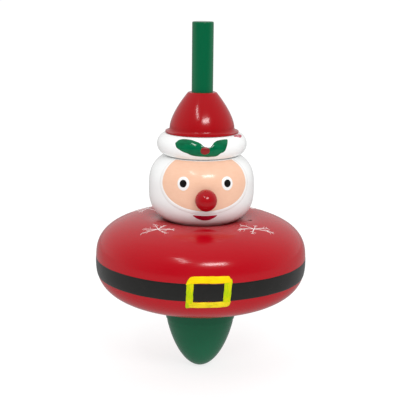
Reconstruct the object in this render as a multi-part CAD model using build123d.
from build123d import *
import os
from math import atan2, cos, degrees, radians, sin

# A hand-turned wooden spinning top in the dress of Father Christmas. Six turned pieces are threaded
# and glued on one 6 mm dowel: foot, body, head, hat brim, hat crown and, on the face, a bead nose
# with its own peg. Nothing moves against anything else: the whole top spins about the dowel's axis.
#
# Millimetres. +Z runs up the dowel, the face looks along -Y, and the origin is the lowest point of
# the foot, where the top touches the table.

# ---- Driving dimensions ----
overall_height = 99.6
stem_radius = 3.0            # the painted stretch of the dowel that the fingers twirl
tenon_radius = 2.95          # the bare stretch of the dowel inside the turned pieces
bore_radius = 3.0            # every turned piece is drilled 6 mm, which leaves 0.05 mm for glue
bore_chamfer = 0.4           # broken edge at the hidden mouths of the bores, which holds spare glue
end_round = 0.35             # rounded edges of the dowel's ends
depth_mark_radius = 2.7      # a ring scored just under the hat's top, to show how far the dowel goes in
depth_mark_width = 0.8

body_radius = 30.0
body_equator = 32.9          # height of the body's widest circle
body_rise = 13.1             # widest circle to the top of the outline, before it is dished
body_drop = 13.9             # widest circle to the bottom of the outline
body_power = 2.8             # exponent of the outline: 2 is an ellipse, more is squarer
body_seat = 19.25            # height of the flat on the underside, where the foot is glued
dish_radius = 20.0           # inside this radius the body's top dips towards the head
dish_depth = 4.3             # how far the dip would reach at the axis
head_seat = 43.7             # height of the flat at the bottom of the dip

head_radius = 14.9
head_equator = 53.5
head_rise = 10.8             # the same above and below the widest circle, before the flats
head_power = 2.8
brim_seat = 62.6             # height of the flat on the head's top

brim_radius = 12.6
crown_seat = 69.0            # height of the brim's flat top

crown_top = 80.2
crown_top_radius = 3.95
crown_side_radius = 9.1      # where the bell's side meets the flare
crown_lip_radius = 10.3      # outer edge of the flare that lies on the brim
crown_flare_height = 1.4
crown_lip_thickness = 0.35
crown_bend = 1.55            # exponent of the bell's side: 1 is a cone, more is rounder
crown_top_round = 0.45

foot_radius = 10.0
foot_round_height = 16.5     # from the tip to where the foot's side runs straight up
foot_bend = 1.42             # exponent of the foot's side: 2 is a half ellipse, less is sharper
tenon_end = 7.0              # height of the dowel's lower end, inside the foot
glue_gap = 0.3               # left under the dowel in the foot's blind bore

nose_radius = 3.0
nose_height = 52.8
nose_proud = 1.8             # from the head's surface out to the bead's centre
peg_radius = 1.0
peg_depth = 5.0              # how far the peg goes into the head
peg_gap = 0.05               # side clearance of the peg and of the bead in its seat

over_cut = 0.001             # lets a cutting tool pass the face that it cuts


# ---- Outlines, as points (radius, height) ----
def superellipse_radius(height, radius, rise, power):
    """Radius at a height above the widest circle, where (r/radius)^power + (h/rise)^power = 1."""
    return radius * (1.0 - (abs(height) / rise) ** power) ** (1.0 / power)


def superellipse_height(reach, radius, rise, power):
    """The same curve read the other way: height above the widest circle at a radius."""
    return rise * (1.0 - (reach / radius) ** power) ** (1.0 / power)


def superellipse_arc(radius, rise, power, start, end, count):
    """Points on the curve at even angles, in degrees up from its widest circle, ends included."""
    points = []
    for i in range(count + 1):
        angle = radians(start + (end - start) * i / count)
        across, up = abs(cos(angle)) / radius, abs(sin(angle)) / rise
        reach = (across ** power + up ** power) ** (-1.0 / power)
        points.append((reach * cos(angle), reach * sin(angle)))
    return points


def turned(*edges):
    """The solid that a closed outline in the XZ plane sweeps about the dowel's axis."""
    return revolve(Plane.XZ * make_face(Wire(list(edges))), Axis.Z)


def straight_runs(*points):
    """The edges of a line through the points."""
    return list(Polyline(*points).edges())


def mouth(height, deeper):
    """The cone that chamfers a bore's mouth at a height. deeper is +1 for a bore that runs up."""
    wide = bore_radius + bore_chamfer
    middle = height + deeper * bore_chamfer / 2
    radii = (wide, bore_radius) if deeper > 0 else (bore_radius, wide)
    return Pos(0, 0, middle) * Cone(*radii, bore_chamfer)


def bore(low, high):
    """The dowel's bore from low to high, a little longer at both ends."""
    return Pos(0, 0, (low + high) / 2) * Cylinder(bore_radius, high - low + 2 * over_cut)


# ---- The pieces ----
def spindle():
    """A dowel: a painted stem above the hat, and a bare tenon under a scored ring, down into the foot."""
    stem_length = overall_height - crown_top
    stem = Pos(0, 0, crown_top + stem_length / 2) * Cylinder(stem_radius, stem_length)
    stem = fillet(stem.edges().group_by(Axis.Z)[-1], end_round)
    depth_mark = Pos(0, 0, crown_top - depth_mark_width / 2) * Cylinder(depth_mark_radius, depth_mark_width)
    tenon_length = crown_top - depth_mark_width - tenon_end
    tenon = Pos(0, 0, tenon_end + tenon_length / 2) * Cylinder(tenon_radius, tenon_length)
    tenon = chamfer(tenon.edges().group_by(Axis.Z)[0], end_round)
    return stem + depth_mark + tenon


def foot_side():
    """Points up the foot's side, where r = foot_radius * sqrt(1 - (1 - share of height)^foot_bend)."""
    count = 22
    points = []
    for i in range(count + 1):
        share = (i / count) ** 2          # closer together at the tip
        reach = foot_radius * (1.0 - (1.0 - share) ** foot_bend) ** 0.5
        points.append((reach, foot_round_height * share))
    return points


def foot():
    """Acorn-shaped foot: a rounded tip to spin on, and a blind bore for the dowel."""
    side = Spline(*foot_side(), tangents=((1, 0), (0, 1)))
    runs = straight_runs((foot_radius, foot_round_height), (foot_radius, body_seat), (0, body_seat), (0, 0))
    return turned(side, *runs) - bore(tenon_end - glue_gap, body_seat) - mouth(body_seat, -1)


def dip_height(reach):
    """Height of the body's top at a radius inside the dip: its outline less a smooth hollow."""
    outline = superellipse_height(reach, body_radius, body_rise, body_power)
    hollow = dish_depth * (1.0 - (reach / dish_radius) ** 2) ** 3
    return body_equator + outline - hollow


def dip_points(count):
    """Points from the dip's rim in to the circle where it is down at the head's seat."""
    low, high = bore_radius, dish_radius / 2
    for _ in range(50):
        middle = (low + high) / 2
        low, high = (middle, high) if dip_height(middle) < head_seat else (low, middle)
    step = (dish_radius - high) / count
    return [(dish_radius - step * i, dip_height(dish_radius - step * i)) for i in range(1, count + 1)]


def body():
    """The flywheel: a thick disc with a round edge, a dip for the head and a flat for the foot."""
    drop = body_seat - body_equator
    rise = superellipse_height(dish_radius, body_radius, body_rise, body_power)
    seat_radius = superellipse_radius(drop, body_radius, body_drop, body_power)
    start, end = degrees(atan2(drop, seat_radius)), degrees(atan2(rise, dish_radius))
    lower = superellipse_arc(body_radius, body_drop, body_power, start, 0, 14)
    upper = superellipse_arc(body_radius, body_rise, body_power, 0, end, 8)
    side = [(r, body_equator + h) for r, h in lower + upper[1:]] + dip_points(10)
    runs = straight_runs(side[-1], (0, head_seat), (0, body_seat), side[0])
    solid = turned(Spline(*side), *runs) - bore(body_seat, head_seat)
    return solid - mouth(body_seat, 1) - mouth(head_seat, -1)


def head_surface():
    """Distance of the head's front from the dowel's axis, at the height of the nose."""
    return superellipse_radius(nose_height - head_equator, head_radius, head_rise, head_power)


def nose_place():
    """The bead's centre, a little in front of the face."""
    return Pos(0, -head_surface() - nose_proud, nose_height)


def peg(radius, depth):
    """A round peg from the bead's centre back into the head, to a depth under its surface."""
    length = nose_proud + depth
    return nose_place() * Pos(0, length / 2, 0) * Rot(90, 0, 0) * Cylinder(radius, length)


def head():
    """A squat ball with glued flats above and below, and a seat and a hole for the nose."""
    low, high = head_seat - head_equator, brim_seat - head_equator
    low_radius = superellipse_radius(low, head_radius, head_rise, head_power)
    high_radius = superellipse_radius(high, head_radius, head_rise, head_power)
    start, end = degrees(atan2(low, low_radius)), degrees(atan2(high, high_radius))
    arc = superellipse_arc(head_radius, head_rise, head_power, start, end, 26)
    side = [(r, head_equator + h) for r, h in arc]
    runs = straight_runs(side[-1], (0, brim_seat), (0, head_seat), side[0])
    solid = turned(Spline(*side), *runs) - bore(head_seat, brim_seat)
    solid = solid - mouth(head_seat, 1) - mouth(brim_seat, -1)
    seat = nose_place() * Sphere(nose_radius + peg_gap)
    return solid - seat - peg(peg_radius + peg_gap, peg_depth + glue_gap)


def nose():
    """A round bead turned in one piece with the peg that holds it to the face."""
    return nose_place() * Sphere(nose_radius) + peg(peg_radius, peg_depth)


def hat_brim():
    """A flat ring bead with a half-round edge, the hat's fur band."""
    edge = (crown_seat - brim_seat) / 2
    flat = brim_radius - edge
    side = ThreePointArc((flat, brim_seat), (brim_radius, brim_seat + edge), (flat, crown_seat))
    runs = straight_runs((flat, crown_seat), (0, crown_seat), (0, brim_seat), (flat, brim_seat))
    solid = turned(side, *runs) - bore(brim_seat, crown_seat)
    return solid - mouth(brim_seat, 1) - mouth(crown_seat, -1)


def bell_side():
    """Points down the bell, where r = side radius - (side - top radius) * (share of height)^bend."""
    count = 14
    low = crown_seat + crown_flare_height
    points = []
    for i in range(count + 1):
        share = 1.0 - i / count
        reach = crown_side_radius - (crown_side_radius - crown_top_radius) * share ** crown_bend
        points.append((reach, low + (crown_top - low) * share))
    return points


def hat_crown():
    """A bell with a thin flared lip that covers the brim's flat top."""
    side = bell_side()
    lip_top = (crown_lip_radius, crown_seat + crown_lip_thickness)
    # The flare is hollow: upright where it leaves the bell, and nearly level at the lip.
    flare = Spline(side[-1], lip_top, tangents=((0, -1), (1, -0.25)))
    lip = (crown_lip_radius, crown_seat)
    runs = straight_runs(lip_top, lip, (0, crown_seat), (0, crown_top), side[0])
    solid = turned(Spline(*side), flare, *runs)
    top_edge = solid.edges().filter_by(GeomType.CIRCLE).group_by(Axis.Z)[-1]
    solid = fillet(top_edge, crown_top_round)
    return solid - bore(crown_seat, crown_top) - mouth(crown_seat, 1)


# ---- Export: one STEP for each piece ----
os.makedirs("parts", exist_ok=True)
pieces = {
    "spindle": spindle(),
    "foot": foot(),
    "body": body(),
    "head": head(),
    "nose": nose(),
    "hat_brim": hat_brim(),
    "hat_crown": hat_crown(),
}
for name, piece in pieces.items():
    export_step(piece, f"parts/{name}.step")
